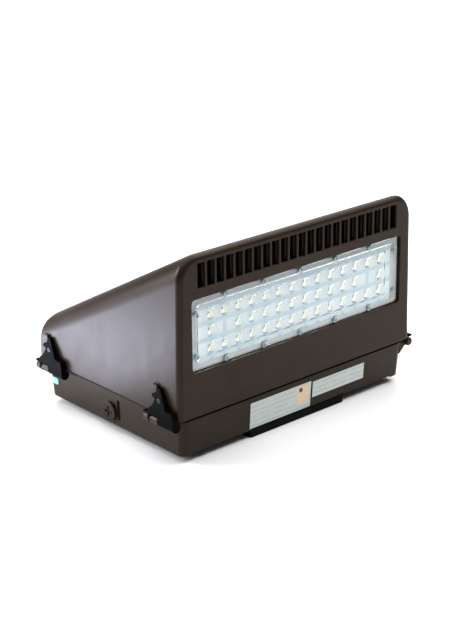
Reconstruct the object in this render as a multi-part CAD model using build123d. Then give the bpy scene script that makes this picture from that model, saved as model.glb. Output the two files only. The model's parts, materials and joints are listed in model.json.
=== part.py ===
from build123d import *
import math
import os

# Wall pack light lying on its wall side. Millimetres.
# +X runs along the lens face, -Y is the way the lens looks, +Z points away from the wall.
# The origin is the middle of the wall pad's face, on the wall.

# ---- housing (the door) ----
DEPTH = 257.0
RIM_Z = 55.0
PEAK_Z = 243.8
BACK_TOP_Z = 104.8
RIM_HALF = 182.3
PEAK_HALF = 178.5
FACE_Y = -DEPTH / 2
BACK_Y = DEPTH / 2
WALL = 3.0
FACE_WALL = 3.5
FACE_BACK_Y = FACE_Y + FACE_WALL
RIM_FLANGE = 4.0
RIM_OPENING = (334.0, 230.0)
SHOULDER_R = 26.0
BACK_CORNER_R = 4.5
FACE_EDGE_R = 6.5
RIM_EDGE_R = 1.5
MOUTH_CHAMFER = 0.8

SLOPE = (PEAK_Z - BACK_TOP_Z) / DEPTH
SLOPE_ANGLE = math.atan(SLOPE)
DRAFT = (RIM_HALF - PEAK_HALF) / (PEAK_Z - RIM_Z)

# ---- lens module ----
LENS_Z = 148.5
OPENING = (323.2, 83.5)
OPENING_CORNER_R = 4.5
LENS_GAP = 0.8
LENS_FRONT_Y = -125.0
LENS_BACK_Y = -121.5
PANEL = (306.0, 68.0)
PANEL_RISE = 1.2
OPTIC_SIDE = 13.0
OPTIC_RISE = 2.0
POCKET = (280.0, 56.0)
POCKET_DEPTH = 0.8
LED_COLUMNS = 14
LED_PITCH = 20.25
LED_ROW_PITCH = 19.3
LED_SIDE = 5.0
LED_HEIGHT = 0.8
BOARD = (299.0, 67.0)
BOARD_THICKNESS = 1.6
PLATE_FRONT_Y = -119.5
PLATE_THICKNESS = 5.0
PLATE_BACK_Y = PLATE_FRONT_Y + PLATE_THICKNESS
PLATE = (339.0, 96.0)
LENS_SEAT = (342.0, 99.0)
LENS_SCREW_ROW = 37.7
LENS_SCREW_X = (-112.0, -56.0, 0.0, 56.0, 112.0)
LENS_SCREW_SIDE = (154.3, 25.0)

# ---- vents and fins ----
VENT_COUNT = 23
VENT_PITCH = 13.45
VENT_WIDTH = 10.4
VENT_Z = (201.9, 230.2)
VENT_CHAMFER = 0.5
FIN_THICKNESS = 2.0
FIN_FOOT_Z = 102.0
FIN_BACK_Y = -76.0
FIN_NOSE_Y = -122.0
FIN_NOSE_Z = 200.5
FIN_CLEARANCE = 4.0

# ---- back box ----
BOX_SKIRT_Z = 8.0
BOX_RIM_Z = 51.0
BOX_FOOT = (346.0, 243.0)
BOX_RIM = (350.0, 249.0)
BOX_CORNER_R = 9.0
BOX_WALL = 3.0
FLOOR_Z = 12.0
FLOOR_THICKNESS = 3.0
FLOOR_TOP_Z = FLOOR_Z + FLOOR_THICKNESS
FRONT_SKIRT_CUT = 2.4
SKIRT_EDGE_R = 1.2
GASKET_GAP = 0.2
GASKET_OUT = (2.0, -1.0)
ENTRY_R = 11.1
ENTRY_COLLAR_R = 16.0
ENTRY_COLLAR_TOP_Z = 18.0
MOUNT_SPACING = (280.0, 180.0)
MOUNT_HOLE_R = 3.5
PAD = (149.0, 210.0)
PAD_CENTRE = (2.5, -15.5)
PAD_HOLE = (60.0, 60.0)
PLUG_Z = 24.5
PLUG_Y = 4.5
PLUG_HEAD_R = 12.0
PLUG_HEAD_HEIGHT = 3.0
PLUG_THREAD_R = 10.3
PLUG_SEAT_R = 12.8
GROOVE_Y = -10.6
GROOVE_WIDTH = 4.2
GROOVE_Z = (17.0, 42.0)
PLUG_SEAT_X = 174.6
PLUG_SEAT_BACK_Y = 124.6

# ---- corner units: hinge arms on the left, bail latches on the right ----
# A unit is drawn for the right side, about its own middle; the left ones are turned half round.
PIVOT_X = 184.5
PIVOT_Z = 49.0
UNIT_Y = 100.5
UNIT_ENDS = (-17.8, 25.5)
UNIT_TOP = [(25.5, 59.0), (22.5, 65.5), (12.0, 66.0), (6.5, 76.0), (0.5, 86.5), (-1.0, 88.0), (-4.5, 88.0),
            (-6.0, 82.5), (-12.5, 79.5), (-12.5, 76.5), (-6.8, 75.0), (-10.5, 67.0), (-16.5, 62.0), (-17.8, 60.0)]
UNIT_BOTTOM_Z = 43.0
UNIT_APEX_Z = 88.0
UNIT_OUT_X = 190.0
UNIT_APEX_OUT_X = 185.7
UNIT_WINDOW = (-15.4, -1.8)
WINDOW_TOP_Z = 55.0
TAB = ((-25.0, -16.0), (55.0, 57.2))
EYE_R = 5.5
LUG_R = 5.2
LUG_BARRELS = ((-25.5, -18.1), (-15.1, -2.1))
LUG_WEBS = ((-21.5, -18.1), (-15.1, -2.1))
PIN_END = 20.0
PIN_R = 2.5
PIN_EYE_R = 2.7
LATCH_GAP = 0.35
SCREW_Z = 74.5
CATCH = (9.0, 6.8)
CATCH_MIDDLE = (-10.5, 87.0)
CATCH_OUT_X = 185.0
DETENT_Z = 66.0
DETENT_R = 4.0
DETENT_HEIGHT = 0.5
DIMPLE_DEPTH = 0.9

UNIT_PLACES = {"front": -UNIT_Y, "back": UNIT_Y}


def box_between(low, high):
    """A box from its lowest to its highest corner."""
    size = [b - a for a, b in zip(low, high)]
    middle = [(a + b) / 2 for a, b in zip(low, high)]
    return Pos(*middle) * Box(*size)


def rod(start, direction, radius, length):
    """A round rod that starts at a point and runs along a direction."""
    along = (Align.CENTER, Align.CENTER, Align.MIN)
    return Plane(origin=start, z_dir=direction) * Cylinder(radius, length, align=along)


def long_bar(section, low, high):
    """A section drawn over X and Z, carried along Y from low to high."""
    return Pos(0, (low + high) / 2, 0) * extrude(Plane.XZ * section, (high - low) / 2, both=True)


def rounded_slab(plane, size, corner_r, thickness):
    """A flat plate with rounded corners, raised from a plane along its normal."""
    return extrude(plane * RectangleRounded(*size, corner_r), thickness)


def face_plane(y, z=LENS_Z):
    """A plane parallel to the lens face whose normal looks out of the lens."""
    return Plane(origin=(0, y, z), x_dir=(1, 0, 0), z_dir=(0, -1, 0))


def screw(seat, direction, head_r, head_height, shank_r, shank_length):
    """A pan-head screw: the head stands on the seat, the shank goes the other way."""
    back = tuple(-value for value in direction)
    head = rod(seat, direction, head_r, head_height)
    head = fillet(head.edges().filter_by(GeomType.CIRCLE).sort_by(Axis(seat, direction))[-1],
                  head_height * 0.45)
    cross_depth = head_height * 0.6
    tip = [a + b * head_height for a, b in zip(seat, direction)]
    cross_plane = Plane(origin=tuple(tip), z_dir=direction)
    bar = Box(head_r * 1.1, head_r * 0.28, 2 * cross_depth)
    cross = cross_plane * (bar + Rot(0, 0, 90) * bar)
    return head - cross + rod(seat, back, shank_r, shank_length)


def save(name, shape):
    """Writes one named piece, as a compound where it is several solids."""
    solids = shape.solids() if not isinstance(shape, list) else ShapeList(shape)
    export_step(solids[0] if len(solids) == 1 else Compound(list(solids)), f"parts/{name}.step")


# ---------------------------------------------------------------- housing


def side_x(z, out=0.0):
    """How far the drafted side wall is from the middle, at a height."""
    return RIM_HALF - DRAFT * (z - RIM_Z) + out


def ceiling_z(y, under=0.0):
    """Height of the sloped top over a place, measured square to the slope."""
    return PEAK_Z - SLOPE * (y - FACE_Y) - under / math.cos(SLOPE_ANGLE)


def wedge(inset, front_y, floor_z):
    """The drafted wedge that the housing is cut from, drawn in by a wall thickness."""
    back_y = BACK_Y - inset
    side = Polygon((front_y, floor_z), (back_y, floor_z), (back_y, ceiling_z(back_y, inset)),
                   (front_y, ceiling_z(front_y, inset)), align=None)
    low, high = side_x(floor_z, -inset), side_x(PEAK_Z, -inset)
    front = Polygon((-low, floor_z), (low, floor_z), (high, PEAK_Z), (-high, PEAK_Z), align=None)
    body = extrude(Plane.YZ * side, RIM_HALF + 10, both=True)
    return body & extrude(Plane.XZ * front, DEPTH, both=True)


def shoulder_edges(body):
    """The two edges where the sloped top meets the side walls."""
    tilted = [e for e in body.edges() if abs(abs(e.tangent_at(0.5).Y) - math.cos(SLOPE_ANGLE)) < 0.02
              and abs(e.tangent_at(0.5).Z) > 0.3]
    return ShapeList(tilted)


def back_top_edge(body):
    """The edge where the sloped top meets the back wall."""
    level = body.edges().filter_by(Axis.X)
    return level.sort_by(lambda e: e.center().Y * 10 + e.center().Z)[-1:]


def back_corner_edges(body):
    """The two upright edges at the back of the side walls."""
    upright = [e for e in body.edges() if abs(e.tangent_at(0.5).Z) > 0.99]
    return ShapeList(upright).sort_by(lambda e: e.center().Y)[-2:]


def rounded_wedge(inset, front_y, floor_z):
    """The wedge with its long shoulders and back corners rounded."""
    body = wedge(inset, front_y, floor_z)
    body = fillet(shoulder_edges(body) + back_top_edge(body), SHOULDER_R - inset)
    return fillet(back_corner_edges(body), BACK_CORNER_R - inset)


def lens_opening(depth):
    """The window in the lens face, cut backwards, with a chamfer round its front edge."""
    hole = extrude(face_plane(FACE_Y - 1) * RectangleRounded(*OPENING, OPENING_CORNER_R), -depth)
    wide = [side + 2 * MOUTH_CHAMFER for side in OPENING]
    mouth = face_plane(FACE_Y) * RectangleRounded(*wide, OPENING_CORNER_R + MOUTH_CHAMFER)
    return hole + extrude(mouth, -MOUTH_CHAMFER, taper=45)


def lens_seat():
    """The thick frame round the window, inside, that the heat sink bolts to."""
    return rounded_slab(face_plane(PLATE_FRONT_Y), LENS_SEAT, 3, PLATE_FRONT_Y - FACE_BACK_Y)


def vent_slots():
    """The row of upright slots over the lens, each with a small chamfer in front."""
    first = -(VENT_COUNT - 1) / 2 * VENT_PITCH
    middle_z = (VENT_Z[0] + VENT_Z[1]) / 2
    height = VENT_Z[1] - VENT_Z[0]
    slot = Box(VENT_WIDTH, 2 * FACE_WALL + 2, height)
    mouth = face_plane(0, 0) * Rectangle(VENT_WIDTH + 2 * VENT_CHAMFER, height + 2 * VENT_CHAMFER)
    slot += extrude(mouth, -VENT_CHAMFER, taper=45)
    return [Pos(first + number * VENT_PITCH, FACE_Y, middle_z) * slot for number in range(VENT_COUNT)]


def heat_sink_screw_places():
    """Three screws down each side of the lens, from behind."""
    return [(side * 165.9, LENS_Z + step) for side in (-1, 1) for step in (-33.0, 0.0, 33.0)]


def slope_frame():
    """Plane on the inner face of the sloped top where the driver sits, facing down into the room."""
    y = 30.0
    down = (0, -math.sin(SLOPE_ANGLE), -math.cos(SLOPE_ANGLE))
    return Plane(origin=(0, y, ceiling_z(y, WALL)), x_dir=(1, 0, 0), z_dir=down)


DRIVER_BOSS = [(x, y) for x in (-95.0, 95.0) for y in (-22.0, 22.0)]
DRIVER_BOSS_HEIGHT = 8.0


def driver_bosses():
    """Posts on the sloped top that the driver bracket screws to."""
    frame = slope_frame()
    post = Pos(0, 0, -1) * Cylinder(5, DRIVER_BOSS_HEIGHT + 1, align=(Align.CENTER, Align.CENTER, Align.MIN))
    hole = Pos(0, 0, 1) * Cylinder(1.75, DRIVER_BOSS_HEIGHT, align=(Align.CENTER, Align.CENTER, Align.MIN))
    posts = [frame * (Pos(x, y, 0) * post) for x, y in DRIVER_BOSS]
    holes = [frame * (Pos(x, y, 0) * hole) for x, y in DRIVER_BOSS]
    return posts, holes


def placed(shape, side, y):
    """A shape drawn for a right corner unit, put on either side at its place."""
    return Pos(0, y, 0) * (shape if side > 0 else Rot(0, 0, 180) * shape)


def catches():
    """Small cast catches on the side walls, one beside the tip of each corner unit."""
    width, height = CATCH
    middle, z = CATCH_MIDDLE
    block = box_between((176.0, middle - width / 2, z - height / 2),
                        (CATCH_OUT_X, middle + width / 2, z + height / 2))
    block = fillet(block.edges().filter_by(Axis.X), 2.4)
    block = fillet(block.faces().sort_by(Axis.X)[-1].edges(), 1.2)
    return [placed(block, side, y) for side in (-1, 1) for y in UNIT_PLACES.values()]


def snap_bump(y):
    """A shallow round bump on the right side wall that a latch snaps over."""
    root = 1.5
    foot = Plane(origin=(side_x(DETENT_Z) - root, y, DETENT_Z), z_dir=(1, 0, 0))
    base = (Align.CENTER, Align.CENTER, Align.MIN)
    return foot * Cone(DETENT_R + root, DETENT_R - DETENT_HEIGHT, root + DETENT_HEIGHT, align=base)


def housing():
    body = rounded_wedge(0.0, FACE_Y, RIM_Z)
    front = [e for e in body.edges() if abs(e.center().Y - FACE_Y) < 0.01 and e.center().Z > RIM_Z + 1]
    body = fillet(front, FACE_EDGE_R)
    rim = [e for e in body.edges() if abs(e.center().Z - RIM_Z) < 0.01]
    body = fillet(rim, RIM_EDGE_R)
    body -= rounded_wedge(WALL, FACE_BACK_Y, RIM_Z + RIM_FLANGE)
    mouth = Plane(origin=(0, 0, RIM_Z - 1))
    body -= rounded_slab(mouth, RIM_OPENING, 8, RIM_FLANGE + 2)
    body += lens_seat()
    body -= lens_opening(20)
    body -= vent_slots()
    for x, z in heat_sink_screw_places():
        body -= rod((x, PLATE_FRONT_Y + 0.1, z), (0, -1, 0), 1.95, 7)
    posts, holes = driver_bosses()
    body += posts
    body -= holes
    body += catches()
    for y in UNIT_PLACES.values():
        body += snap_bump(y)
        body -= rod((-200, y, SCREW_Z), (1, 0, 0), 1.7, 26)
        boss = rod((-side_x(SCREW_Z, -1.5), y, SCREW_Z), (1, 0, 0), 5, 5)
        body += boss - rod((-200, y, SCREW_Z), (1, 0, 0), 1.7, 26)
    return body


# ---------------------------------------------------------------- lens module


def led_places():
    """Three rows of diodes; the middle row leaves out the second column from each end."""
    places = []
    for column in range(LED_COLUMNS):
        for row in (-1, 0, 1):
            if row == 0 and column in (1, LED_COLUMNS - 2):
                continue
            x = (column - (LED_COLUMNS - 1) / 2) * LED_PITCH
            places.append((x, LENS_Z + row * LED_ROW_PITCH))
    return places


def lens_screw_places():
    """Five screws over and under the optics and two at each end."""
    rows = [(x, LENS_Z + side * LENS_SCREW_ROW) for x in LENS_SCREW_X for side in (-1, 1)]
    far_x, step = LENS_SCREW_SIDE
    ends = [(side * far_x, LENS_Z + half * step) for side in (-1, 1) for half in (-1, 1)]
    return rows + ends


def lens_outline():
    return OPENING[0] - 2 * LENS_GAP, OPENING[1] - 2 * LENS_GAP


def optic_lens():
    """Clear plate with a raised panel and one square optic over each diode."""
    plate = rounded_slab(face_plane(LENS_BACK_Y), lens_outline(), OPENING_CORNER_R - LENS_GAP,
                         LENS_BACK_Y - LENS_FRONT_Y)
    plate += rounded_slab(face_plane(LENS_FRONT_Y), PANEL, 4, PANEL_RISE)
    top_y = LENS_FRONT_Y - PANEL_RISE
    optic = extrude(face_plane(0, 0) * RectangleRounded(OPTIC_SIDE, OPTIC_SIDE, 3.5), OPTIC_RISE, taper=30)
    plate += [Pos(x, top_y, z) * optic for x, z in led_places()]
    plate -= rounded_slab(face_plane(LENS_BACK_Y + 0.01), POCKET, 3, POCKET_DEPTH)
    for x, z in lens_screw_places():
        plate -= rod((x, LENS_BACK_Y + 1, z), (0, -1, 0), 2.0, 6)
        plate -= rod((x, LENS_FRONT_Y, z), (0, -1, 0), 3.7, 4)
    return plate


def lens_gasket():
    """Rubber ring between the lens flange and the heat sink plate."""
    ring = rounded_slab(face_plane(PLATE_FRONT_Y), lens_outline(), 3, PLATE_FRONT_Y - LENS_BACK_Y)
    inner = (BOARD[0] + 1.4, BOARD[1] + 1.2)
    ring -= rounded_slab(face_plane(PLATE_FRONT_Y + 1), inner, 2, 5)
    for x, z in lens_screw_places():
        ring -= rod((x, PLATE_FRONT_Y + 1, z), (0, -1, 0), 2.2, 6)
    return ring


def lens_screws():
    seats = [(x, LENS_FRONT_Y, z) for x, z in lens_screw_places()]
    return [screw(seat, (0, -1, 0), 3.2, 2.0, 1.6, 9.0) for seat in seats]


def led_board():
    return rounded_slab(face_plane(PLATE_FRONT_Y), BOARD, 1.5, BOARD_THICKNESS)


def led_chips():
    y = PLATE_FRONT_Y - BOARD_THICKNESS
    half = LED_SIDE / 2
    return [box_between((x - half, y - LED_HEIGHT, z - half), (x + half, y, z + half))
            for x, z in led_places()]


LEAD_HOLE = (148.0, 150.0)


def heat_sink():
    """Base plate behind the lens with upright fins that reach up behind the vents."""
    body = rounded_slab(face_plane(PLATE_BACK_Y), PLATE, 3, PLATE_THICKNESS)
    under = WALL + FIN_CLEARANCE
    profile = Polygon((PLATE_BACK_Y - 1, FIN_FOOT_Z), (FIN_BACK_Y, FIN_FOOT_Z),
                      (FIN_BACK_Y, ceiling_z(FIN_BACK_Y, under)), (FIN_NOSE_Y, ceiling_z(FIN_NOSE_Y, under)),
                      (FIN_NOSE_Y, FIN_NOSE_Z), (PLATE_BACK_Y - 1, FIN_NOSE_Z), align=None)
    fin = extrude(Plane.YZ * profile, FIN_THICKNESS / 2, both=True)
    fins = [Pos((number - VENT_COUNT / 2) * VENT_PITCH, 0, 0) * fin for number in range(VENT_COUNT + 1)]
    body += fins
    for x, z in lens_screw_places():
        body -= rod((x, PLATE_FRONT_Y - 1, z), (0, 1, 0), 1.65, 5)
    for x, z in heat_sink_screw_places():
        body -= rod((x, PLATE_FRONT_Y - 1, z), (0, 1, 0), 2.1, PLATE_THICKNESS + 2)
    x, z = LEAD_HOLE
    body -= rod((x, PLATE_FRONT_Y - 1, z), (0, 1, 0), 3.2, PLATE_THICKNESS + 2)
    return body


def heat_sink_screws():
    seats = [(x, PLATE_BACK_Y, z) for x, z in heat_sink_screw_places()]
    return [screw(seat, (0, 1, 0), 3.4, 2.4, 1.9, 11.0) for seat in seats]


# ---------------------------------------------------------------- driver

DRIVER = (150.0, 56.0, 32.0)
CAP_LENGTH = 5.0
BRACKET = (206.0, 60.0, 2.0)
LEAD_R = 2.5


def driver_pieces():
    """The driver on its bracket, drawn flat and laid on the sloped top."""
    frame = slope_frame()
    base = (Align.CENTER, Align.CENTER, Align.MIN)
    bracket = Pos(0, 0, DRIVER_BOSS_HEIGHT) * Box(*BRACKET, align=base)
    hole = Pos(0, 0, DRIVER_BOSS_HEIGHT - 1) * Cylinder(2.2, 4, align=base)
    for x, y in DRIVER_BOSS:
        bracket -= Pos(x, y, 0) * hole
    foot = DRIVER_BOSS_HEIGHT + BRACKET[2]
    case = Pos(0, 0, foot) * Box(*DRIVER, align=base)
    case = fillet(case.edges().filter_by(Axis.X), 3)
    for y in (-18, -9, 0, 9, 18):
        case -= Pos(0, y, foot + DRIVER[2]) * Box(DRIVER[0] + 2, 3, 3)
    caps = []
    for side in (-1, 1):
        cap = Pos(side * (DRIVER[0] + CAP_LENGTH) / 2, 0, foot) * Box(CAP_LENGTH, DRIVER[1], DRIVER[2], align=base)
        cap = fillet(cap.edges().filter_by(Axis.X), 3)
        gland = rod((side * (DRIVER[0] / 2 + CAP_LENGTH - 0.5), 0, foot + 16), (side, 0, 0), 5, 6.5)
        caps.append(cap + gland)
    screws = [screw((x, y, foot), (0, 0, 1), 3.4, 2.4, 1.7, 8.0) for x, y in DRIVER_BOSS]
    return {
        "driver_bracket": frame * bracket,
        "driver_case": frame * case,
        "driver_end_caps": [frame * cap for cap in caps],
        "driver_screws": [frame * piece for piece in screws],
    }


def bent_tube(points, radii, tube_r):
    """A round lead along straight runs joined by tangent arcs."""
    path = FilletPolyline(*points, radius=radii)
    start = Plane(origin=path @ 0, z_dir=path % 0)
    return sweep(start * Circle(tube_r), path=path)


GLAND_END = (DRIVER[0] / 2 + CAP_LENGTH + 6, 0.0, DRIVER_BOSS_HEIGHT + BRACKET[2] + 16)


def led_lead():
    """The lead from the driver to the back of the LED board."""
    start = slope_frame().from_local_coords(Vector(*GLAND_END))
    x, z = LEAD_HOLE
    points = [tuple(start), (x - 18, start.Y, start.Z), (x, start.Y - 32, z - 6), (x, -70.0, z),
              (x, PLATE_FRONT_Y, z)]
    return bent_tube(points, [16, 20, 40], LEAD_R)


CONNECTOR = (16.0, 24.0, 12.0)
CONNECTOR_PLACE = (-128.0, -46.0, 16.0)


def input_lead():
    """The short lead from the driver to its plug-in connector."""
    x, y, z = GLAND_END
    end_x, end_y, end_z = CONNECTOR_PLACE
    points = [(-x, y, z), (-x - 24, y, z), (end_x, y - 22, end_z), (end_x, end_y, end_z)]
    return slope_frame() * bent_tube(points, [16, 16], LEAD_R)


def input_connector():
    """Half of the plug-in connector at the end of the input lead."""
    width, length, height = CONNECTOR
    body = Box(width, length, height, align=(Align.CENTER, Align.MAX, Align.CENTER))
    body = fillet(body.edges().filter_by(Axis.Y), 1.5)
    for side in (-1, 1):
        body -= Pos(side * 4, -length, 0) * Box(4.4, 20, 5)
    return slope_frame() * (Pos(*CONNECTOR_PLACE) * body)


# ---------------------------------------------------------------- back box


def box_half(size_index, z):
    """Half the back box's outer width or depth at a height."""
    share = (z - BOX_SKIRT_Z) / (BOX_RIM_Z - BOX_SKIRT_Z)
    foot, rim = BOX_FOOT[size_index] / 2, BOX_RIM[size_index] / 2
    return foot + (rim - foot) * share


def drafted_tray(inset, low_z, high_z):
    """A rounded rectangle that widens upwards like the back box, drawn in by a wall."""
    sections = []
    for z in (low_z, high_z):
        size = [2 * (box_half(axis, z) - inset) for axis in (0, 1)]
        sections.append(Plane(origin=(0, 0, z)) * RectangleRounded(*size, BOX_CORNER_R - inset))
    return loft(sections)


def lugs():
    """Two barrels for each corner unit on the side walls, on webs, bored for the pins."""
    web = Polygon((PIVOT_X, PIVOT_Z + LUG_R), (176.5, BOX_RIM_Z - 0.5), (172.0, BOX_RIM_Z - 0.5),
                  (172.0, PIVOT_Z - 14), (PIVOT_X - 3, PIVOT_Z - LUG_R), (PIVOT_X, PIVOT_Z - LUG_R), align=None)
    barrels = [rod((PIVOT_X, low, PIVOT_Z), (0, 1, 0), LUG_R, high - low) for low, high in LUG_BARRELS]
    webs = [long_bar(web, low, high) for low, high in LUG_WEBS]
    bore = rod((PIVOT_X, -40, PIVOT_Z), (0, 1, 0), PIN_R, 80)
    lugs_of_one = [barrel + web_bar - bore for barrel, web_bar in zip(barrels, webs)]
    return [placed(lug, side, y) for lug in lugs_of_one for side in (-1, 1) for y in UNIT_PLACES.values()]


PLUG_PLACES = {
    "left": ((-PLUG_SEAT_X, PLUG_Y, PLUG_Z), (-1, 0, 0)),
    "right": ((PLUG_SEAT_X, PLUG_Y, PLUG_Z), (1, 0, 0)),
    "back": ((0.0, PLUG_SEAT_BACK_Y, PLUG_Z), (0, 1, 0)),
}


def moved(point, direction, distance):
    """A point pushed along a direction."""
    return tuple(a + b * distance for a, b in zip(point, direction))


def corners(half_x, half_y):
    """The four corners of a rectangle round the middle."""
    return [(x * half_x, y * half_y) for x in (-1, 1) for y in (-1, 1)]


def tray():
    """The tray's walls and floor, its corner feet and the raised edge of the front wall."""
    body = drafted_tray(0.0, BOX_SKIRT_Z, BOX_RIM_Z)
    foot_edges = [e for e in body.edges() if abs(e.center().Z - BOX_SKIRT_Z) < 0.01]
    body = fillet(foot_edges, SKIRT_EDGE_R)
    body -= drafted_tray(BOX_WALL, FLOOR_TOP_Z, BOX_RIM_Z + 1)
    body -= drafted_tray(BOX_WALL, BOX_SKIRT_Z - 1, FLOOR_Z)
    half_x, half_y = BOX_FOOT[0] / 2, BOX_FOOT[1] / 2
    for x, y in corners(half_x - 8, half_y - 8):
        foot = rod((x, y, BOX_SKIRT_Z), (0, 0, 1), 7.5, FLOOR_Z - BOX_SKIRT_Z + 1)
        body += fillet(foot.edges().filter_by(GeomType.CIRCLE).sort_by(Axis.Z)[0], 1.2)
    low = BOX_SKIRT_Z - 1
    cut_x = half_x - 15
    body -= box_between((-cut_x, -half_y - 5, low), (cut_x, -half_y + 8, BOX_SKIRT_Z + FRONT_SKIRT_CUT))
    pad_x = PAD[0] / 2 + 0.4
    middle = PAD_CENTRE[0]
    return body - box_between((middle - pad_x, -half_y - 5, low), (middle + pad_x, -half_y + 8, FLOOR_Z))


def back_box():
    """Cast tray that goes on the wall: walls, floor, wire entry, lugs and plug seats."""
    body = tray()
    body -= level_bar(-185, 20, 0.15)
    body += rod((0, 0, FLOOR_Z), (0, 0, 1), ENTRY_COLLAR_R, ENTRY_COLLAR_TOP_Z - FLOOR_Z)
    body -= rod((0, 0, FLOOR_Z - 1), (0, 0, 1), ENTRY_R, 12)
    for x, y in corners(MOUNT_SPACING[0] / 2, MOUNT_SPACING[1] / 2):
        body -= rod((x, y, FLOOR_Z - 1), (0, 0, 1), MOUNT_HOLE_R, FLOOR_THICKNESS + 2)
    inner = box_half(0, PLUG_Z)
    low_z, high_z = GROOVE_Z
    half = GROOVE_WIDTH / 2
    body += box_between((-inner + 1.5, GROOVE_Y - half - 3, FLOOR_TOP_Z - 1),
                        (-inner + 6, GROOVE_Y + half + 3, high_z + 2))
    for seat, out in PLUG_PLACES.values():
        body += rod(moved(seat, out, -8), out, PLUG_SEAT_R - 1, 8)
        body += rod(moved(seat, out, -3), out, PLUG_SEAT_R, 3)
        body -= rod(moved(seat, out, -12), out, PLUG_THREAD_R + 0.1, 14)
    body -= box_between((-inner - 6, GROOVE_Y - half, low_z), (-inner + 2.6, GROOVE_Y + half, high_z))
    body += lugs()
    x, y = GROUND_PLACE
    body += rod((x, y, FLOOR_TOP_Z - 0.5), (0, 0, 1), 6, 4.5)
    body -= rod((x, y, FLOOR_TOP_Z - 1), (0, 0, 1), 2.05, 8)
    return body


GROUND_PLACE = (-60.0, -40.0)


def ground_screw():
    x, y = GROUND_PLACE
    return screw((x, y, FLOOR_TOP_Z + 4), (0, 0, 1), 4.0, 3.0, 2.0, 4.8)


def conduit_plug(seat, out):
    """Threaded plug in a conduit entry, with a cross recess in its head."""
    head = rod(seat, out, PLUG_HEAD_R, PLUG_HEAD_HEIGHT)
    rim = head.edges().filter_by(GeomType.CIRCLE).sort_by(Axis(seat, out))[-1]
    head = fillet(rim, 1.0)
    tip = Plane(origin=moved(seat, out, PLUG_HEAD_HEIGHT), z_dir=out)
    bar = Box(13, 2.6, 3.6)
    head -= tip * (bar + Rot(0, 0, 90) * bar)
    return head + rod(moved(seat, out, -9), out, PLUG_THREAD_R, 9)


def wall_pad():
    """Foam pad between the back box and the wall, with a hole for the wires."""
    pad = rounded_slab(Plane(origin=(*PAD_CENTRE, 0)), PAD, 2, FLOOR_Z)
    return pad - rounded_slab(Plane(origin=(0, 0, -1)), PAD_HOLE, 6, FLOOR_Z + 2)


def rim_gasket():
    """Rubber ring on the back box's rim that the housing closes on, standing out a little at the sides."""
    outer = (BOX_RIM[0] + 2 * GASKET_OUT[0], BOX_RIM[1] + 2 * GASKET_OUT[1])
    inner = (BOX_RIM[0] - 2 * BOX_WALL, BOX_RIM[1] - 2 * BOX_WALL)
    base = Plane(origin=(0, 0, BOX_RIM_Z))
    height = RIM_Z - GASKET_GAP - BOX_RIM_Z
    return rounded_slab(base, outer, 8, height) - rounded_slab(base, inner, 6, height)


TERMINAL = ((46.0, 84.0), (24.0, 44.0), (FLOOR_TOP_Z, FLOOR_TOP_Z + 16))


def terminal_block():
    (x0, x1), (y0, y1), (z0, z1) = TERMINAL
    body = box_between((x0, y0, z0), (x1, y1, z1))
    for number in range(3):
        x = x0 + 7 + number * 12
        body -= box_between((x - 4, y0 - 1, z1 - 7), (x + 4, y0 + 7, z1 + 1))
        body -= rod((x, y0 + 11, z1 + 1), (0, 0, -1), 2.6, 7)
        body -= rod((x, y0 - 1, z0 + 5), (0, 1, 0), 1.8, 8)
    return body


def terminal_screws():
    (x0, _), (y0, _), (_, z1) = TERMINAL
    return [rod((x0 + 7 + number * 12, y0 + 11, z1 - 6), (0, 0, 1), 2.5, 3.5) for number in range(3)]


def supply_leads():
    """Three wires that lie on the floor from beside the wire entry and bend up to the terminal block."""
    (x0, _), (y0, _), (z0, _) = TERMINAL
    leads = []
    for number in range(3):
        x = x0 + 7 + number * 12
        y = -4.0 - 5.0 * number
        low = FLOOR_TOP_Z + 2.0
        points = [(20.0, y, low), (x, y, low), (x, y0 - 12, low), (x, y0 - 5, z0 + 5), (x, y0 + 7, z0 + 5)]
        leads.append(bent_tube(points, [8, 8, 8], 1.6))
    return leads


LEVEL_Y = 111.0
LEVEL_Z = 28.5
VIAL_LENGTH = 40.0
VIAL = (12.0, 8.0)
VIAL_CORNER_R = 2.0


def level_bar(start, length, gap):
    """A rounded bar along the level's place, larger than the level by a gap all round."""
    section = RectangleRounded(VIAL[0] + 2 * gap, VIAL[1] + 2 * gap, VIAL_CORNER_R)
    across = Plane(origin=(start, LEVEL_Y, LEVEL_Z), x_dir=(0, 1, 0), z_dir=(1, 0, 0))
    return extrude(across * section, length)


def bubble_level_vial():
    """Green block level along the back box, its end showing in the left wall."""
    vial = level_bar(-box_half(0, LEVEL_Z) - 0.5, VIAL_LENGTH, 0)
    ends = vial.faces().sort_by(Axis.X)
    return fillet(ends[0].edges() + ends[-1].edges(), 0.8)


def bubble_level_clip():
    """Cradle on the floor that holds the level."""
    body = box_between((-166, LEVEL_Y - 7.5, FLOOR_TOP_Z), (-142, LEVEL_Y + 7.5, LEVEL_Z + 2.8))
    return body - level_bar(-190, 60, 0.05)


LABELS = {"label_large": ((-74.7, 20.0), (12.4, 44.5)), "label_small": ((23.0, 108.0), (22.5, 42.5))}
LABEL_THICKNESS = 0.3


def label(name):
    """Blank sticker on the drafted front wall of the back box."""
    (x0, x1), (z0, z1) = LABELS[name]
    low, high = -box_half(1, z0), -box_half(1, z1)
    sheet = Polygon((low, z0), (high, z1), (high - LABEL_THICKNESS, z1), (low - LABEL_THICKNESS, z0), align=None)
    return Pos((x0 + x1) / 2, 0, 0) * extrude(Plane.YZ * sheet, (x1 - x0) / 2, both=True)


# ---------------------------------------------------------------- corner units


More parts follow.
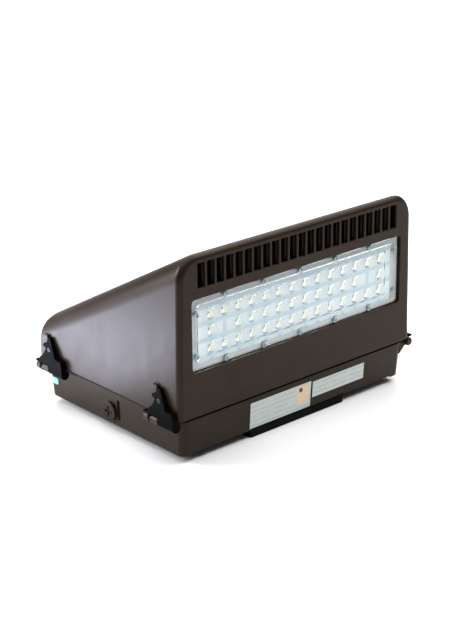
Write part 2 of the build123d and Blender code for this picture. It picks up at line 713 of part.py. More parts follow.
def corner_unit(gap):
    """A-shaped unit: a solid near leg and a thin far leg round the pin, a plate up to its tip and a finger tab."""
    low, high = UNIT_ENDS
    section = Polygon((side_x(RIM_Z, gap), RIM_Z), (side_x(UNIT_APEX_Z, gap), UNIT_APEX_Z),
                      (UNIT_APEX_OUT_X, UNIT_APEX_Z), (UNIT_OUT_X, RIM_Z + 6), (UNIT_OUT_X, PIVOT_Z),
                      (PIVOT_X - EYE_R, PIVOT_Z), align=None)
    body = long_bar(section, low, high)
    body += rod((PIVOT_X, low, PIVOT_Z), (0, 1, 0), EYE_R, high - low)
    outline = Polygon((low, UNIT_BOTTOM_Z - 1), (high, UNIT_BOTTOM_Z - 1), *UNIT_TOP, align=None)
    body &= Pos(185, 0, 0) * extrude(Plane.YZ * outline, 12, both=True)
    start, end = UNIT_WINDOW
    body -= box_between((160, start, UNIT_BOTTOM_Z - 5), (210, end, WINDOW_TOP_Z))
    (tab_low, tab_high), (tab_z0, tab_z1) = TAB
    body += box_between((PIVOT_X, tab_low, tab_z0), (UNIT_OUT_X, tab_high, tab_z1))
    return body - rod((PIVOT_X, low - 1, PIVOT_Z), (0, 1, 0), PIN_EYE_R, PIN_END + 0.3 - low + 1)


def arm_seat_x():
    """Where the flat seat for the arm's screw lies, a little under the sloped outer face."""
    share = (SCREW_Z - RIM_Z - 6) / (UNIT_APEX_Z - RIM_Z - 6)
    return UNIT_OUT_X + share * (UNIT_APEX_OUT_X - UNIT_OUT_X) - 1.2


def hinge_arm():
    """Corner unit that is screwed to the housing."""
    arm = corner_unit(0.0) - rod((170, 0, SCREW_Z), (1, 0, 0), 2.1, 30)
    return arm - rod((arm_seat_x(), 0, SCREW_Z), (1, 0, 0), 3.5, 10)


def latch():
    """Corner unit that is free to swing, with a dimple for the snap bump."""
    depth = side_x(DETENT_Z, LATCH_GAP + DIMPLE_DEPTH) - 170
    return corner_unit(LATCH_GAP) - rod((170, 0, DETENT_Z), (1, 0, 0), DETENT_R + 1, depth)


def hinge_arm_screw():
    return screw((arm_seat_x(), 0, SCREW_Z), (1, 0, 0), 3.0, 2.0, 1.65, 10.0)


def pin():
    """Steel pin with a small head, through the lugs and the far leg into the near leg of a unit."""
    start = LUG_BARRELS[0][0] - 0.3
    shaft = rod((PIVOT_X, start, PIVOT_Z), (0, 1, 0), PIN_R, PIN_END - start)
    return shaft + rod((PIVOT_X, start, PIVOT_Z), (0, -1, 0), 3.8, 1.2)


def main():
    os.makedirs("parts", exist_ok=True)
    pieces = {
        "housing": housing(),
        "optic_lens": optic_lens(),
        "lens_gasket": lens_gasket(),
        "lens_screws": lens_screws(),
        "led_board": led_board(),
        "led_chips": led_chips(),
        "heat_sink": heat_sink(),
        "heat_sink_screws": heat_sink_screws(),
        "led_lead": led_lead(),
        "input_lead": input_lead(),
        "input_connector": input_connector(),
        "back_box": back_box(),
        "wall_pad": wall_pad(),
        "rim_gasket": rim_gasket(),
        "terminal_block": terminal_block(),
        "terminal_screws": terminal_screws(),
        "ground_screw": ground_screw(),
        "supply_leads": supply_leads(),
        "bubble_level_vial": bubble_level_vial(),
        "bubble_level_clip": bubble_level_clip(),
    }
    pieces.update(driver_pieces())
    for name, (seat, out) in PLUG_PLACES.items():
        pieces[f"conduit_plug_{name}"] = conduit_plug(seat, out)
    for name in LABELS:
        pieces[name] = label(name)
    for name, y in UNIT_PLACES.items():
        pieces[f"hinge_arm_{name}"] = placed(hinge_arm(), -1, y)
        pieces[f"hinge_arm_screw_{name}"] = placed(hinge_arm_screw(), -1, y)
        pieces[f"latch_{name}"] = placed(latch(), 1, y)
        pieces[f"hinge_pin_{name}"] = placed(pin(), -1, y)
        pieces[f"latch_pin_{name}"] = placed(pin(), 1, y)
    for name, shape in pieces.items():
        save(name, shape)


main()
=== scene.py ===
import json
import math

import bpy
import numpy as np
from mathutils import Matrix, Vector


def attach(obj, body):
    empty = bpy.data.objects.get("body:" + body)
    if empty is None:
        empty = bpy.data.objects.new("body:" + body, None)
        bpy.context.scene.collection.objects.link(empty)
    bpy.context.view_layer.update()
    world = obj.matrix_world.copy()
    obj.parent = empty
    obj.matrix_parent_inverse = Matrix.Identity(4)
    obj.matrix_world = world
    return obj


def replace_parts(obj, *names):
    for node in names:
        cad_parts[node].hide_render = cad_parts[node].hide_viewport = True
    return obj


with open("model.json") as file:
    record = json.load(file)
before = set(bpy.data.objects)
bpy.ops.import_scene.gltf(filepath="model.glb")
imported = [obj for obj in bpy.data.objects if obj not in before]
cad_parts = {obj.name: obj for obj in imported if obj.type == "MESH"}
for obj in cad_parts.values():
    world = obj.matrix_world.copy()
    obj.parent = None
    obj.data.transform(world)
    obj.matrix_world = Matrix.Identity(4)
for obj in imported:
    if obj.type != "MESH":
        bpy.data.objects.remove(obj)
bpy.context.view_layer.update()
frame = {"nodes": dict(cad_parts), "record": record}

# Every length is in metres. The lens and the board lie in planes of x and z, and -y is forward, out of the lens.

# Places and sizes of the lens, the board and the lens screws, as the part's source has them.
LENS_Z = 0.1485
LENS_HALF = np.array([0.1608, 0.04095])
LENS_CORNER = 0.0037
LENS_FRONT_Y = -0.125
PANEL_HALF = np.array([0.153, 0.034])
PANEL_CORNER = 0.004
PANEL_RISE = 0.0012
POCKET_HALF = np.array([0.140, 0.028])
POCKET_CORNER = 0.003
POCKET_DEPTH = 0.0008
LED_COLUMNS = 14
LED_PITCH = 0.02025
LED_ROW_PITCH = 0.0193
BOARD_FACE_Y = -0.1211
SCREW_ROW_X = (-0.112, -0.056, 0.0, 0.056, 0.112)
SCREW_ROW_Z = 0.0377
SCREW_END = (0.1543, 0.025)

# The lens plate's finer forms, seen in the photograph. A slope is the span over which a step rises.
LENS_BACK_Y = -0.12165  # just forward of the gasket's face, so that the two don't share a plane
PANEL_SLOPE = (-0.0007, 0.0002)
RIB_INSET, RIB_WIDTH, RIB_RISE = 0.0035, 0.0012, 0.0004
RIM_ROUND, RIM_DROP = 0.0012, 0.0007
PAD_X = (-0.133, -0.084, -0.028, 0.028, 0.084, 0.133)
PAD_HALF = np.array([0.0165, 0.0016])
PAD_CORNER, PAD_RISE = 0.0008, 0.00045
PAD_SLOPE = (-0.0004, 0.0004)
SCREW_FLAT_SLOPE = (0.0034, 0.0046)
RING_RADIUS, RING_WIDTH, RING_RISE = 0.0049, 0.0007, 0.0006
OPTIC_HALF = 0.0068
OPTIC_RISE = 0.0019
DIMPLE_RADIUS, DIMPLE_SHARE = 0.0022, 0.08
POCKET_SLOPE = (-0.001, 0.0)
LINE_SPACING = 0.0011
EDGE_LINES = np.array([-0.0005, 0.0002])
LINE_MARGIN, LINE_GAP = 0.0004, 0.00012

# One diode package, as rings from the board up the wall, over the rim and in over the resin.
PACKAGE_POINTS = 20
PACKAGE_POWER = 2 / 5
PACKAGE_HALVES = np.array([4.2, 4.2, 4.08, 3.0, 2.9, 2.2, 1.1, 0.001]) * 0.001
PACKAGE_HEIGHTS = np.array([0.0, 0.56, 0.68, 0.68, 0.58, 0.72, 0.79, 0.80]) * 0.001
RESIN_RING = 4


# ------------------------------------------------------------------ mesh makers


def show(name, data):
    """An object for a mesh, lamp or camera, linked into the scene."""
    obj = bpy.data.objects.new(name, data)
    bpy.context.scene.collection.objects.link(obj)
    return obj


def piece(name, points, faces, body, materials):
    """A smooth object from arrays of points and faces, riding on a body."""
    mesh = bpy.data.meshes.new(name)
    mesh.from_pydata(points.tolist(), [], [tuple(face) for face in faces])
    mesh.update()
    for material in materials:
        mesh.materials.append(material)
    mesh.polygons.foreach_set("use_smooth", np.full(len(mesh.polygons), True))
    obj = show(name, mesh)
    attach(obj, body)
    return obj


def grid_faces(rows, columns, close_rows=False, start=0):
    """Quads between neighbouring points of a rows by columns grid, point (r, c) being start + r * columns + c.
    close_rows joins each row's last point to its first."""
    last = columns if close_rows else columns - 1
    r, c = np.meshgrid(np.arange(rows - 1), np.arange(last), indexing="ij")
    right = (c + 1) % columns
    above, below = r * columns, (r + 1) * columns
    quads = np.stack([above + c, above + right, below + right, below + c], -1)
    return quads.reshape(-1, 4) + start


def step(value, low, high):
    """Smooth rise from 0 to 1 between low and high: t squared times (3 minus 2 t)."""
    t = np.clip((value - low) / (high - low), 0.0, 1.0)
    return t * t * (3.0 - 2.0 * t)


def outside(x, z, half, corner):
    """Distance from a rounded rectangle's outline, below zero inside: the length of the part of (|x|, |z|) past
    the corner centres, less the corner radius."""
    dx = np.abs(x) - half[0] + corner
    dz = np.abs(z) - half[1] + corner
    return np.hypot(np.maximum(dx, 0), np.maximum(dz, 0)) + np.minimum(np.maximum(dx, dz), 0) - corner


def led_places():
    """Three rows of diodes; the middle row leaves out the second column from each end."""
    column, row = np.meshgrid(np.arange(LED_COLUMNS), (-1, 0, 1), indexing="ij")
    kept = ~((row == 0) & ((column == 1) | (column == LED_COLUMNS - 2)))
    x = (column - (LED_COLUMNS - 1) / 2) * LED_PITCH
    return np.stack([x[kept], (row * LED_ROW_PITCH)[kept]], -1)


def lens_screw_places():
    """Five screws over and under the optics and two at each end."""
    rows = [(x, side * SCREW_ROW_Z) for x in SCREW_ROW_X for side in (-1, 1)]
    ends = [(side * SCREW_END[0], half * SCREW_END[1]) for side in (-1, 1) for half in (-1, 1)]
    return np.array(rows + ends)


def grid_lines(half, spacing, edges):
    """Grid lines from -half to half, evenly spaced, with closer lines at both sides of every given edge."""
    even = np.linspace(-half, half, round(2 * half / spacing) + 1)
    near = (np.asarray(edges)[:, None] + EDGE_LINES).ravel()
    lines = np.unique(np.concatenate([even[1:-1], near[np.abs(near) < half - LINE_MARGIN]]))
    kept = lines[np.diff(lines, prepend=-half) > LINE_GAP]
    return np.concatenate([[-half], kept, [half]])


def lens_relief(x, z):
    """How far the lens stands forward of its flange: a raised panel, a rib round it, low pads between the screws,
    a ring round every screw and over each diode a cushion dome (1 - |x|^3 - |z|^3)^0.6 with a slight dimple in
    its middle. Rib, ring and dimple are bells, exp(-d^2 / width^2)."""
    edge = outside(x, z, PANEL_HALF, PANEL_CORNER)
    relief = PANEL_RISE * (1 - step(edge, *PANEL_SLOPE))
    relief += RIB_RISE * np.exp(-((edge + RIB_INSET) / RIB_WIDTH) ** 2)
    rim = outside(x, z, LENS_HALF, LENS_CORNER)
    relief -= RIM_DROP * step(rim, -RIM_ROUND, 0.0) ** 2
    for side in (-1, 1):
        for px in PAD_X:
            pad = outside(x - px, z - side * SCREW_ROW_Z, PAD_HALF, PAD_CORNER)
            relief += PAD_RISE * (1 - step(pad, *PAD_SLOPE))
    for sx, sz in lens_screw_places():
        away = np.hypot(x - sx, z - sz)
        relief *= step(away, *SCREW_FLAT_SLOPE)
        relief += RING_RISE * np.exp(-((away - RING_RADIUS) / RING_WIDTH) ** 2)
    for lx, lz in led_places():
        u, v = np.abs(x - lx) / OPTIC_HALF, np.abs(z - lz) / OPTIC_HALF
        dome = np.clip(1 - u ** 3 - v ** 3, 0, 1) ** 0.6
        dimple = np.exp(-((x - lx) ** 2 + (z - lz) ** 2) / DIMPLE_RADIUS ** 2)
        relief += OPTIC_RISE * dome * (1 - DIMPLE_SHARE * dimple)
    return relief


def lens_grid():
    """Points of the lens outline's grid as x and z arrays. A corner square of the grid is pressed into a quarter
    disc: (u, v) goes to (u sqrt(1 - v^2/2), v sqrt(1 - u^2/2))."""
    optics = led_places()
    lines = []
    for axis in (0, 1):
        optic_edges = np.unique(optics[:, axis])[:, None] + OPTIC_HALF * np.array([-1, 1])
        panel_edges = PANEL_HALF[axis] * np.array([-1, 1])
        lines.append(grid_lines(LENS_HALF[axis], LINE_SPACING, np.append(optic_edges, panel_edges)))
    gx, gz = np.meshgrid(*lines, indexing="xy")
    centre = LENS_HALF - LENS_CORNER
    u = np.maximum(np.abs(gx) - centre[0], 0) / LENS_CORNER
    v = np.maximum(np.abs(gz) - centre[1], 0) / LENS_CORNER
    corner = (u > 0) & (v > 0)
    x = np.where(corner, np.sign(gx) * (centre[0] + LENS_CORNER * u * np.sqrt(1 - v * v / 2)), gx)
    z = np.where(corner, np.sign(gz) * (centre[1] + LENS_CORNER * v * np.sqrt(1 - u * u / 2)), gz)
    return x, z


def lens_plate(material):
    """The clear plate as two grids, the relief in front and a flat back with a pocket over the diodes, sewn
    along their edge."""
    x, z = lens_grid()
    rows, columns = x.shape
    front_y = LENS_FRONT_Y - lens_relief(x, z)
    back_y = LENS_BACK_Y - POCKET_DEPTH * (1 - step(outside(x, z, POCKET_HALF, POCKET_CORNER), *POCKET_SLOPE))
    front = np.stack([x, front_y, z + LENS_Z], -1).reshape(-1, 3)
    back = np.stack([x, back_y, z + LENS_Z], -1).reshape(-1, 3)
    index = np.arange(rows * columns).reshape(rows, columns)
    loop = np.concatenate([index[0, :-1], index[:-1, -1], index[-1, :0:-1], index[:0:-1, 0]])
    after = np.roll(loop, -1)
    front_faces = grid_faces(rows, columns)
    back_faces = grid_faces(rows, columns, start=rows * columns)[:, ::-1]
    side_faces = np.stack([loop, loop + rows * columns, after + rows * columns, after], -1)
    faces = np.concatenate([front_faces, back_faces, side_faces])
    lens = piece("lens_plate", np.concatenate([front, back]), faces, "door", [material])
    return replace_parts(lens, "optic_lens")


def diode_packages(ceramic, phosphor):
    """Every diode as rings of a rounded square, |x|^5 + |z|^5 = 1, stepping up the package wall, over its rim
    and in to a low phosphor dome."""
    turn = np.linspace(0, 2 * np.pi, PACKAGE_POINTS, endpoint=False)
    round_x = np.sign(np.cos(turn)) * np.abs(np.cos(turn)) ** PACKAGE_POWER
    round_z = np.sign(np.sin(turn)) * np.abs(np.sin(turn)) ** PACKAGE_POWER
    rings = len(PACKAGE_HALVES)
    half = PACKAGE_HALVES[:, None]
    height = np.repeat(PACKAGE_HEIGHTS[:, None], PACKAGE_POINTS, 1)
    package = np.stack([half * round_x, -height, half * round_z], -1)
    places = led_places()
    at = np.stack([places[:, 0], np.full(len(places), BOARD_FACE_Y), places[:, 1] + LENS_Z], -1)
    points = (at[:, None, None, :] + package[None]).reshape(-1, 3)
    one = grid_faces(rings, PACKAGE_POINTS, close_rows=True)
    starts = np.arange(len(places)) * rings * PACKAGE_POINTS
    faces = (starts[:, None, None] + one[None]).reshape(-1, 4)
    chips = piece("diode_packages", points, faces, "door", [ceramic, phosphor])
    resin = np.tile(np.repeat(np.arange(rings - 1) >= RESIN_RING, PACKAGE_POINTS), len(places))
    chips.data.polygons.foreach_set("material_index", resin.astype(np.int32))
    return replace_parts(chips, "led_chips")


# ------------------------------------------------------------------ node helpers


def add(tree, kind, **values):
    """A node of a kind, with its properties and plain input values set by name, _ standing for a space."""
    node = tree.nodes.new(kind)
    for name, value in values.items():
        if name in node.bl_rna.properties.keys():
            setattr(node, name, value)
        else:
            node.inputs[name.replace("_", " ")].default_value = value
    return node


def group_tree(name, inputs, outputs):
    """An empty shader group with named float inputs and outputs."""
    tree = bpy.data.node_groups.new(name, "ShaderNodeTree")
    for label, value in inputs.items():
        socket = tree.interface.new_socket(label, in_out="INPUT", socket_type="NodeSocketFloat")
        socket.default_value = value
    for label, kind in outputs.items():
        tree.interface.new_socket(label, in_out="OUTPUT", socket_type=kind)
    return tree, tree.nodes.new("NodeGroupInput"), tree.nodes.new("NodeGroupOutput")


def place(tree, group, **values):
    """One use of an effect in a material, with its inputs set by name."""
    node = tree.nodes.new("ShaderNodeGroup")
    node.node_tree = group
    for name, value in values.items():
        node.inputs[name.replace("_", " ")].default_value = value
    return node


def remap(tree, value, low, high, to_low, to_high):
    """A value's span from low to high stretched to another span and clamped to it."""
    node = add(tree, "ShaderNodeMapRange", clamp=True, From_Min=low, From_Max=high, To_Min=to_low, To_Max=to_high)
    tree.links.new(value, node.inputs["Value"])
    return node.outputs["Result"]


def times(tree, first, second):
    """The product of two values."""
    node = add(tree, "ShaderNodeMath", operation="MULTIPLY")
    tree.links.new(first, node.inputs[0])
    tree.links.new(second, node.inputs[1])
    return node.outputs[0]


def blend_colours(tree, factor, low, high):
    """Colour going from low to high with a factor. high is a plain colour, low a plain colour or a socket."""
    mix = add(tree, "ShaderNodeMix", data_type="RGBA")
    if isinstance(low, bpy.types.NodeSocket):
        tree.links.new(low, mix.inputs["A"])
    else:
        mix.inputs["A"].default_value = (*low, 1)
    mix.inputs["B"].default_value = (*high, 1)
    tree.links.new(factor, mix.inputs["Factor"])
    return mix.outputs["Result"]


def sized_noise(tree, where, size, detail, roughness):
    """Noise in object space whose features are about as large as the size that a socket gives."""
    scale = add(tree, "ShaderNodeMath", operation="DIVIDE")
    scale.inputs[0].default_value = 1.0
    tree.links.new(size, scale.inputs[1])
    noise = add(tree, "ShaderNodeTexNoise", Detail=detail, Roughness=roughness)
    tree.links.new(where.outputs["Object"], noise.inputs["Vector"])
    tree.links.new(scale.outputs[0], noise.inputs["Scale"])
    return noise.outputs["Fac"]


def grain_effect():
    """Fine powder grain: small noise for the bump height, and larger soft patches."""
    tree, given, out = group_tree("powder grain", {"Size": 0.0006, "Patch Size": 0.03},
                                  {"Height": "NodeSocketFloat", "Patches": "NodeSocketFloat"})
    where = add(tree, "ShaderNodeTexCoord")
    tree.links.new(sized_noise(tree, where, given.outputs["Size"], 3.0, 0.6), out.inputs["Height"])
    tree.links.new(sized_noise(tree, where, given.outputs["Patch Size"], 4.0, 0.55), out.inputs["Patches"])
    return tree


def edge_effect():
    """Softened edges: the surface's direction rounded over a small radius, and how near an edge is, which rises
    as the rounded and the true direction agree less."""
    tree, given, out = group_tree("soft edges", {"Radius": 0.0006},
                                  {"Normal": "NodeSocketVector", "Edge": "NodeSocketFloat"})
    link = tree.links.new
    bevel = add(tree, "ShaderNodeBevel", samples=4)
    link(given.outputs["Radius"], bevel.inputs["Radius"])
    shape = add(tree, "ShaderNodeNewGeometry")
    dot = add(tree, "ShaderNodeVectorMath", operation="DOT_PRODUCT")
    link(bevel.outputs["Normal"], dot.inputs[0])
    link(shape.outputs["Normal"], dot.inputs[1])
    link(bevel.outputs["Normal"], out.inputs["Normal"])
    link(remap(tree, dot.outputs["Value"], 0.99, 0.8, 0.0, 1.0), out.inputs["Edge"])
    return tree


GRAIN = grain_effect()
EDGES = edge_effect()
GRAIN_DEPTH = 0.0002
PATCH_SPAN = (0.35, 0.65)  # the noise's own span that colours run through
WIDE_PATCH_SPAN = (0.3, 0.7)
EDGE_HIGHLIGHT_GAIN = 4.5  # how much paler than its light patches the painted highlight along an edge is


# ------------------------------------------------------------------ finishes


def finish(name, roughness=0.5, metallic=0.0, ior=1.5, **sockets):
    """A material with its Principled shader; returns (material, tree, shader)."""
    material = bpy.data.materials.new(name)
    material.use_nodes = True
    tree = material.node_tree
    shader = tree.nodes["Principled BSDF"]
    shader.inputs["Roughness"].default_value = roughness
    shader.inputs["Metallic"].default_value = metallic
    shader.inputs["IOR"].default_value = ior
    for socket, value in sockets.items():
        shader.inputs[socket.replace("_", " ")].default_value = value
    return material, tree, shader


def patchy_colour(tree, grain, low, high, span=PATCH_SPAN):
    """Colour going from low to high over the grain's soft patches."""
    return blend_colours(tree, remap(tree, grain.outputs["Patches"], *span, 0, 1), low, high)


def textured(name, dark, light, roughness, spread, grain_size, bump, edge_radius, edge_highlight=0.0,
             patch_size=0.03, **sockets):
    """The finish that painted, moulded and cast pieces share: patchy colour and gloss, a grain bump and softened
    edges that may carry a painted highlight, a paler colour along them."""
    material, tree, shader = finish(name, roughness, **sockets)
    link = tree.links.new
    grain = place(tree, GRAIN, Size=grain_size, Patch_Size=patch_size)
    colour = patchy_colour(tree, grain, dark, light)
    gloss = remap(tree, grain.outputs["Patches"], *WIDE_PATCH_SPAN, roughness - spread, roughness + spread)
    link(gloss, shader.inputs["Roughness"])
    height = add(tree, "ShaderNodeBump", Strength=bump, Distance=GRAIN_DEPTH)
    link(grain.outputs["Height"], height.inputs["Height"])
    edges = place(tree, EDGES, Radius=edge_radius)
    link(edges.outputs["Normal"], height.inputs["Normal"])
    link(height.outputs["Normal"], shader.inputs["Normal"])
    # Painted highlight: edges turn paler, standing in for light caught along rounded edges.
    if edge_highlight:
        painted_highlight = [min(1.0, EDGE_HIGHLIGHT_GAIN * channel) for channel in light]
        colour = blend_colours(tree, remap(tree, edges.outputs["Edge"], 0, 1, 0, edge_highlight), colour, painted_highlight)
    link(colour, shader.inputs["Base Color"])
    return material


PAINT_SHEEN_TINT = (1.0, 0.79, 0.62, 1)
# The bronze edges carry the strongest painted highlight: the bright line along the top front edge and the bright
# bars between the vents.
BRONZE = textured("bronze powder coat", (0.0135, 0.0088, 0.0060), (0.0175, 0.0116, 0.0080),
                  roughness=0.34, spread=0.04, grain_size=0.0011, bump=0.5, edge_radius=0.0010, edge_highlight=0.50,
                  Specular_IOR_Level=0.17, Specular_Tint=PAINT_SHEEN_TINT)
PLUG = textured("bronze painted plug", (0.0100, 0.0066, 0.0046), (0.0140, 0.0094, 0.0066),
                roughness=0.4, spread=0.04, grain_size=0.0010, bump=0.3, edge_radius=0.0005, edge_highlight=0.35,
                Specular_IOR_Level=0.15, Specular_Tint=PAINT_SHEEN_TINT)
BLACK = textured("black moulded plastic", (0.0012, 0.0010, 0.0009), (0.0022, 0.0019, 0.0017),
                 roughness=0.55, spread=0.05, grain_size=0.0009, bump=0.15, edge_radius=0.0007, edge_highlight=0.10,
                 Specular_IOR_Level=0.02)
BLACK_STEEL = textured("black coated steel", (0.006, 0.006, 0.006), (0.010, 0.010, 0.010),
                       roughness=0.42, spread=0.05, grain_size=0.001, bump=0.1, edge_radius=0.0004,
                       Specular_IOR_Level=0.3)
# Painted shade in part: a rubber gasket, made darker and duller than rubber is so that it reads as the dark line
# of shade under the housing's overhang.
RUBBER_AND_SHADE = textured("black rubber and painted shade", (0.0030, 0.0030, 0.0034), (0.0050, 0.0050, 0.0056),
                  roughness=0.8, spread=0.06, grain_size=0.0012, bump=0.25, edge_radius=0.0004,
                  Specular_IOR_Level=0.04)
SILICONE = textured("white silicone", (0.50, 0.53, 0.54), (0.56, 0.58, 0.585),
                    roughness=0.5, spread=0.05, grain_size=0.0012, bump=0.1, edge_radius=0.0003)
FOAM = textured("closed-cell foam", (0.003, 0.003, 0.003), (0.007, 0.007, 0.007),
                roughness=0.9, spread=0.05, grain_size=0.0016, bump=0.9, edge_radius=0.0008,
                Specular_IOR_Level=0.08)
# Painted shade in part: a heat sink with a dark coat, made near black so that the vent slots in front of it read
# as deep shade.
SINK_AND_SHADE = textured("heat sink, dark coat and painted shade", (0.003, 0.003, 0.003), (0.006, 0.006, 0.005),
                roughness=0.6, spread=0.06, grain_size=0.001, bump=0.15, edge_radius=0.0003,
                Specular_IOR_Level=0.15)
LEAD = textured("lead jacket", (0.02, 0.02, 0.021), (0.032, 0.032, 0.033),
                roughness=0.5, spread=0.05, grain_size=0.001, bump=0.1, edge_radius=0.0003)
CLIP = textured("moulded clip", (0.010, 0.010, 0.010), (0.016, 0.016, 0.016),
                roughness=0.45, spread=0.05, grain_size=0.0009, bump=0.15, edge_radius=0.0004)
ZINC = textured("zinc plated steel", (0.42, 0.47, 0.48), (0.58, 0.62, 0.62),
                roughness=0.34, spread=0.08, grain_size=0.0015, bump=0.1, edge_radius=0.0003,
                metallic=1.0, patch_size=0.004)
CASE = textured("extruded driver case", (0.50, 0.51, 0.53), (0.58, 0.59, 0.60),
                roughness=0.38, spread=0.06, grain_size=0.0008, bump=0.12, edge_radius=0.0006,
                metallic=1.0)
GREEN = textured("green plated screw", (0.03, 0.20, 0.07), (0.05, 0.27, 0.10),
                 roughness=0.32, spread=0.06, grain_size=0.001, bump=0.1, edge_radius=0.0003,
                 metallic=0.7, patch_size=0.005)
LENS_SCREW = textured("dull lens screw", (0.22, 0.31, 0.31), (0.38, 0.47, 0.47),
                      roughness=0.38, spread=0.06, grain_size=0.001, bump=0.1, edge_radius=0.0003,
                      metallic=1.0, patch_size=0.003)
CERAMIC = textured("diode package", (0.84, 0.86, 0.84), (0.90, 0.91, 0.89),
                   roughness=0.35, spread=0.05, grain_size=0.0005, bump=0.05, edge_radius=0.0002)


def phosphor_finish():
    """Pale yellow resin in each diode, in small patches."""
    material, tree, shader = finish("phosphor resin", 0.22)
    grain = place(tree, GRAIN, Size=0.0004, Patch_Size=0.002)
    colour = patchy_colour(tree, grain, (0.76, 0.78, 0.56), (0.86, 0.87, 0.68), WIDE_PATCH_SPAN)
    tree.links.new(colour, shader.inputs["Base Color"])
    return material


def board_finish():
    """Cool white solder mask in a brick pattern of the diodes' pitch, partly painted light: the paler squares
    under the optics are a painted highlight for the light they gather, and the wide darker teal joints are
    painted shade between them.
    """
    material, tree, shader = finish("white circuit board", 0.3)
    link = tree.links.new
    where = add(tree, "ShaderNodeTexCoord")
    turn = add(tree, "ShaderNodeMapping", Rotation=(math.pi / 2, 0, 0),
               Location=(LED_PITCH / 2, LENS_Z - LED_ROW_PITCH / 2, 0))
    link(where.outputs["Object"], turn.inputs["Vector"])
    # Painted light: pale squares and darker teal joints stand in for the optics' bright and dim parts.
    optic_light_pattern = add(tree, "ShaderNodeTexBrick", offset=0.0, Scale=1.0, Mortar_Size=0.0032, Mortar_Smooth=0.35,
                Brick_Width=LED_PITCH, Row_Height=LED_ROW_PITCH, Color1=(0.86, 0.90, 0.93, 1),
                Color2=(0.80, 0.87, 0.90, 1), Mortar=(0.56, 0.71, 0.76, 1))
    link(turn.outputs["Vector"], optic_light_pattern.inputs["Vector"])
    link(optic_light_pattern.outputs["Color"], shader.inputs["Base Color"])
    height = add(tree, "ShaderNodeBump", Strength=0.4, Distance=0.0001)
    link(optic_light_pattern.outputs["Fac"], height.inputs["Height"])
    link(height.outputs["Normal"], shader.inputs["Normal"])
    return material


def lens_finish():
    """Clear moulded plastic that bends what is seen through it. A shadow ray passes, because sharp rays of light
    through clear plastic are too few to light the board."""
    material, tree, shader = finish("clear moulded lens", 0.05, ior=1.58, Transmission_Weight=1.0)
    link = tree.links.new
    grain = place(tree, GRAIN, Size=0.004, Patch_Size=0.02)
    link(patchy_colour(tree, grain, (0.93, 0.985, 0.99), (0.97, 0.995, 1.0)), shader.inputs["Base Color"])
    path = add(tree, "ShaderNodeLightPath")
    link(remap(tree, path.outputs["Is Shadow Ray"], 0, 1, 1.0, 0.06), shader.inputs["Alpha"])
    height = add(tree, "ShaderNodeBump", Strength=0.08, Distance=GRAIN_DEPTH)
    link(grain.outputs["Height"], height.inputs["Height"])
    link(height.outputs["Normal"], shader.inputs["Normal"])
    return material


def vial_finish():
    """Pale green liquid behind clear acrylic."""
    material, tree, shader = finish("level liquid", 0.1, ior=1.45)
    grain = place(tree, GRAIN, Size=0.002, Patch_Size=0.006)
    colour = patchy_colour(tree, grain, (0.16, 0.52, 0.36), (0.26, 0.66, 0.50))
    tree.links.new(colour, shader.inputs["Base Color"])
    return material


def inside_span(tree, value, low, high):
    """One between low and high, falling to nought over half a millimetre outside."""
    middle, half = (low + high) / 2, (high - low) / 2
    away = add(tree, "ShaderNodeMath", operation="SUBTRACT")
    tree.links.new(value, away.inputs[0])
    away.inputs[1].default_value = middle
    size = add(tree, "ShaderNodeMath", operation="ABSOLUTE")
    tree.links.new(away.outputs[0], size.inputs[0])
    return remap(tree, size.outputs[0], half, half + 0.0005, 1, 0)


def sticker_finish(name, fields=()):
    """Pale vinyl sticker with faint ruled bands, broken up by soft patches, and no lettering. Each field is an x
    span, a z span and the colour that fills them."""
    material, tree, shader = finish(name, 0.32)
    link = tree.links.new
    where = add(tree, "ShaderNodeTexCoord")
    wave = add(tree, "ShaderNodeTexWave", wave_type="BANDS", bands_direction="Z", wave_profile="SIN",
               Scale=52.0, Distortion=0.0)
    link(where.outputs["Object"], wave.inputs["Vector"])
    bands = remap(tree, wave.outputs["Fac"], 0.55, 0.9, 0, 0.55)
    grain = place(tree, GRAIN, Size=0.0012, Patch_Size=0.012)
    broken = times(tree, bands, remap(tree, grain.outputs["Patches"], 0.42, 0.5, 0.2, 1))
    colour = blend_colours(tree, broken, (0.53, 0.585, 0.57), (0.35, 0.42, 0.40))
    if fields:
        split = add(tree, "ShaderNodeSeparateXYZ")
        link(where.outputs["Object"], split.inputs[0])
        for x_span, z_span, tint in fields:
            mask = times(tree, inside_span(tree, split.outputs["X"], *x_span),
                         inside_span(tree, split.outputs["Z"], *z_span))
            colour = blend_colours(tree, mask, colour, tint)
    link(colour, shader.inputs["Base Color"])
    return material


# A tinted field on the larger sticker, and a small dark spot in it.
LABEL_FIELDS = [((-0.002, 0.0165), (0.0205, 0.0425), (0.74, 0.56, 0.36)),
                ((0.0015, 0.0060), (0.0355, 0.0400), (0.02, 0.015, 0.012))]

# The finish of each material slot. The lens and the diodes are hidden under new pieces, so theirs never shows.
SLOT_FINISHES = {
    "bronze_paint": BRONZE,
    "plug_paint": PLUG,
    "black_plastic": BLACK,
    "black_steel": BLACK_STEEL,
    "clip_plastic": CLIP,
    "gasket_rubber": RUBBER_AND_SHADE,
    "gasket_white": SILICONE,
    "pad_foam": FOAM,
    "board_white": board_finish(),
    "heat_sink_dark": SINK_AND_SHADE,
    "steel": ZINC,
    "green_screw": GREEN,
    "driver_metal": CASE,
    "lead_grey": LEAD,
    "lead_wires": LEAD,
    "vial_green": vial_finish(),
    "label_white": sticker_finish("pale sticker"),
    "clear_lens": CASE,
    "led_phosphor": CASE,
}
NODE_FINISHES = {
    "lens_screws": LENS_SCREW,
    "label_large": sticker_finish("two-toned sticker", LABEL_FIELDS),
}


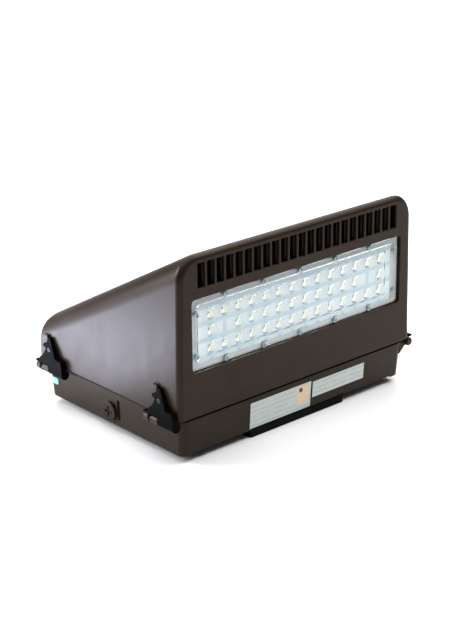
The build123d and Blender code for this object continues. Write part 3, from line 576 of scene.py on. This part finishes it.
def dress_cad_nodes():
    """Gives every CAD node its own finish, or that of its slot in the record."""
    slots = {part["node"]: part["material_slot"] for part in frame["record"]["subparts"]}
    for name, node in frame["nodes"].items():
        node.data.materials.clear()
        node.data.materials.append(NODE_FINISHES.get(name, SLOT_FINISHES[slots[name]]))


# ------------------------------------------------------------------ camera, floor and light

CAMERA_PLACE = (-1.19969, -1.35775, 0.78961)
CAMERA_TURN, CAMERA_DOWN, CAMERA_ROLL = math.radians(41.6), math.radians(20.89), math.radians(-0.63)
CAMERA_LENS_MM, CAMERA_SENSOR_MM = 93.41, 36.0
CAMERA_FAR = 50.0
FLOOR_HALF = 6.0
FLOOR_GREY = 0.88
SURROUND_STRENGTH = 0.12


def camera():
    """The photograph's view: a fitted place, turn and lens. turn is round z from +y towards +x, down is below the
    horizon and roll tips the picture."""
    turn, down, roll = CAMERA_TURN, CAMERA_DOWN, CAMERA_ROLL
    right = Vector((math.cos(turn), -math.sin(turn), 0))
    ahead = Vector((math.sin(turn) * math.cos(down), math.cos(turn) * math.cos(down), -math.sin(down)))
    up = right.cross(ahead)
    side = right * math.cos(roll) + up * math.sin(roll)
    top = up * math.cos(roll) - right * math.sin(roll)
    data = bpy.data.cameras.new("view")
    data.lens, data.sensor_width = CAMERA_LENS_MM, CAMERA_SENSOR_MM
    data.clip_end = CAMERA_FAR
    obj = show("view", data)
    turned = Matrix((side, top, -ahead)).transposed().to_4x4()
    obj.matrix_world = Matrix.Translation(CAMERA_PLACE) @ turned
    bpy.context.scene.camera = obj


def softbox(name, place_at, look_at, width, height, watts, tint=(1, 1, 1), seen=True):
    """A soft rectangular lamp that faces a point. seen says whether the camera sees the lamp itself."""
    data = bpy.data.lights.new(name, "AREA")
    data.shape, data.size, data.size_y = "RECTANGLE", width, height
    data.energy, data.color = watts, tint
    obj = show(name, data)
    facing = (Vector(look_at) - Vector(place_at)).to_track_quat("-Z", "Y").to_matrix().to_4x4()
    obj.matrix_world = Matrix.Translation(place_at) @ facing
    obj.visible_camera = seen


def pale_floor():
    """A pale floor, which isn't part of the object."""
    side = np.array([-FLOOR_HALF, FLOOR_HALF])
    points = np.array([(x, y, 0.0) for x in side for y in side])
    mesh = bpy.data.meshes.new("floor")
    mesh.from_pydata(points.tolist(), [], [(0, 2, 3, 1)])
    material, tree, shader = finish("pale floor", 0.8)
    shader.inputs["Base Color"].default_value = (FLOOR_GREY, FLOOR_GREY, FLOOR_GREY, 1)
    mesh.materials.append(material)
    floor = show("floor", mesh)


def studio():
    """A pale surround and soft lamps: from above, on the far floor, and low sheens on the left side and front."""
    world = bpy.data.worlds.new("surround")
    world.use_nodes = True
    background = world.node_tree.nodes["Background"]
    background.inputs["Color"].default_value = (1, 1, 1, 1)
    background.inputs["Strength"].default_value = SURROUND_STRENGTH
    bpy.context.scene.world = world
    softbox("overhead softbox", (0.3, 0.3, 2.4), (0.3, 0.3, 0), width=4.0, height=4.0, watts=150)
    softbox("background softbox", (2.6, 3.1, 2.6), (2.4, 2.8, 0), width=4.0, height=3.0, watts=150)
    softbox("back left softbox", (-1.25, 1.35, 0.75), (-0.40, 0.40, 0.0), width=0.9, height=0.7, watts=42,
            tint=(0.94, 0.95, 1.0))
    softbox("low left strip", (-0.345, 0.295, 0.014), (-0.275, 0.295, 1.0), width=0.42, height=0.17, watts=4.2,
            tint=(0.68, 0.76, 1.0), seen=False)
    softbox("front right softbox", (1.15, -0.90, 1.75), (0.0, -0.12, 0.2), width=0.4, height=1.3, watts=14)
    bpy.context.scene.view_settings.view_transform = "Standard"


def main():
    dress_cad_nodes()
    lens_plate(lens_finish())
    diode_packages(CERAMIC, phosphor_finish())
    camera()
    pale_floor()
    studio()
    bpy.context.view_layer.update()


main()
